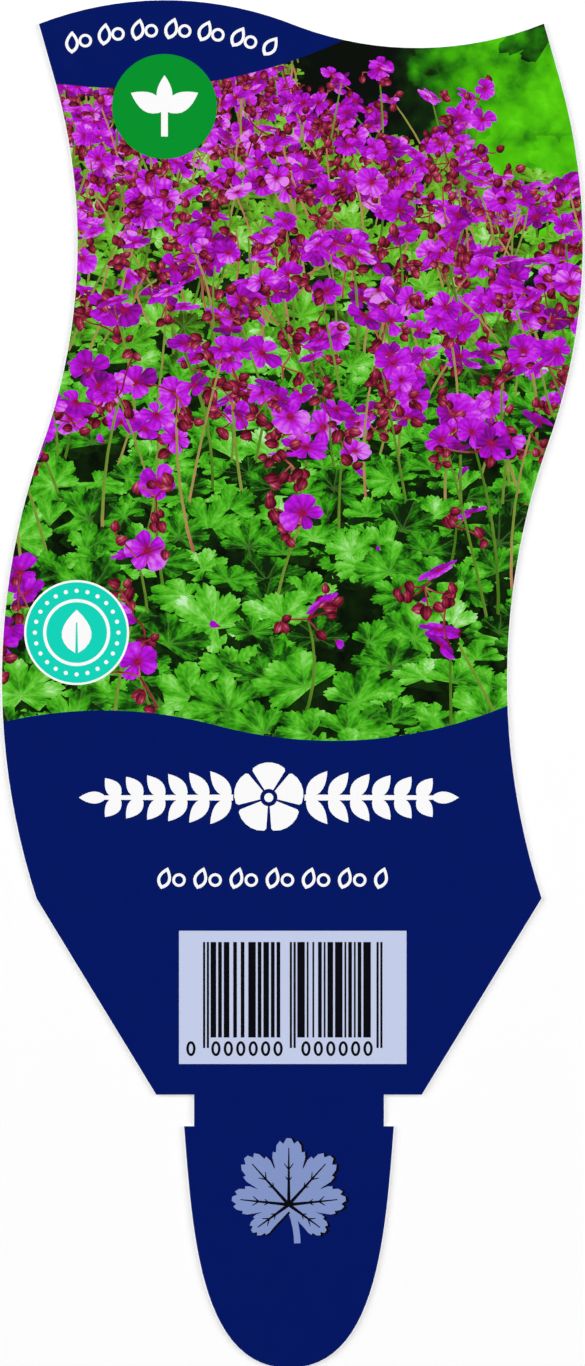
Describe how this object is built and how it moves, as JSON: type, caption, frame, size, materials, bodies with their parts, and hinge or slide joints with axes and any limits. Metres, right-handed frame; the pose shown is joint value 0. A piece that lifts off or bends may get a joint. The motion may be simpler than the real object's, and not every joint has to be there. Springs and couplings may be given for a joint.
{
  "type": "stick-in plant label",
  "caption": "Die-cut card of thin printed plastic with waved sides and top, a pointed lower end, notched neck and round-ended tongue that locks in a slot or is pushed into soil.",
  "frame": {"origin": "on the card's back face, under the middle of its outline's box", "axes": "+X to the right of the printed front, +Y towards the label's top, +Z out of the printed front"},
  "size_m": [0.0814, 0.1914, 0.0005],
  "materials": {
    "printed_plastic": "dark blue and full-colour print on white polypropylene sheet, satin varnish"
  },
  "bodies": {
    "root": {"label_card": "printed_plastic"}
  },
  "joints": []
}
